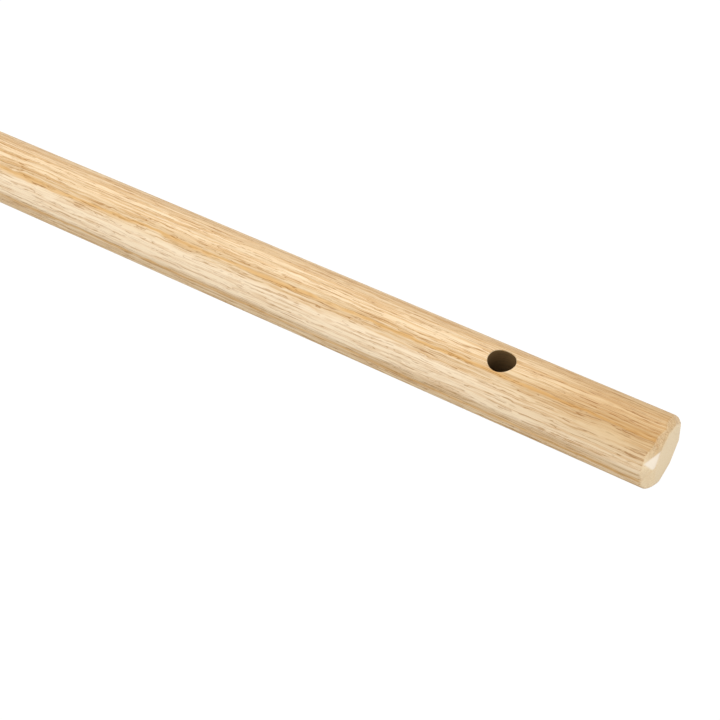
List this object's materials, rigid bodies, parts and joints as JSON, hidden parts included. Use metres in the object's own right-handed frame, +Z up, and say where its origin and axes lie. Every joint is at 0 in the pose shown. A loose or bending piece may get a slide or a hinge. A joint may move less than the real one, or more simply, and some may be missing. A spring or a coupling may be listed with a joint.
{
  "type": "draw hoe",
  "caption": "Long-handled draw hoe with a flat steel blade riveted to a swan neck, whose tang is pinned through a ferrule into a round wooden handle with a hanging hole.",
  "frame": {"origin": "on the ground, under the middle of the hoe's bounding box, with the hoe lying at rest on its cutting edge and the underside of the butt", "axes": "+X from the blade towards the butt of the handle, +Y across the blade, +Z up"},
  "size_m": [1.5428, 0.158, 0.1846],
  "materials": {
    "ash": "sanded and lightly oiled",
    "forged_steel": "black lacquer over forging scale",
    "blade_steel": "ground and clear lacquered",
    "ferrule_steel": "satin zinc plate",
    "rivet_steel": "plain steel, hammered"
  },
  "bodies": {
    "root": {"handle": "ash", "ferrule": "ferrule_steel", "ferrule_pin": "rivet_steel", "neck": "forged_steel", "blade": "blade_steel", "rivet_left": "rivet_steel", "rivet_right": "rivet_steel", "rivet_lower": "rivet_steel"}
  },
  "joints": []
}
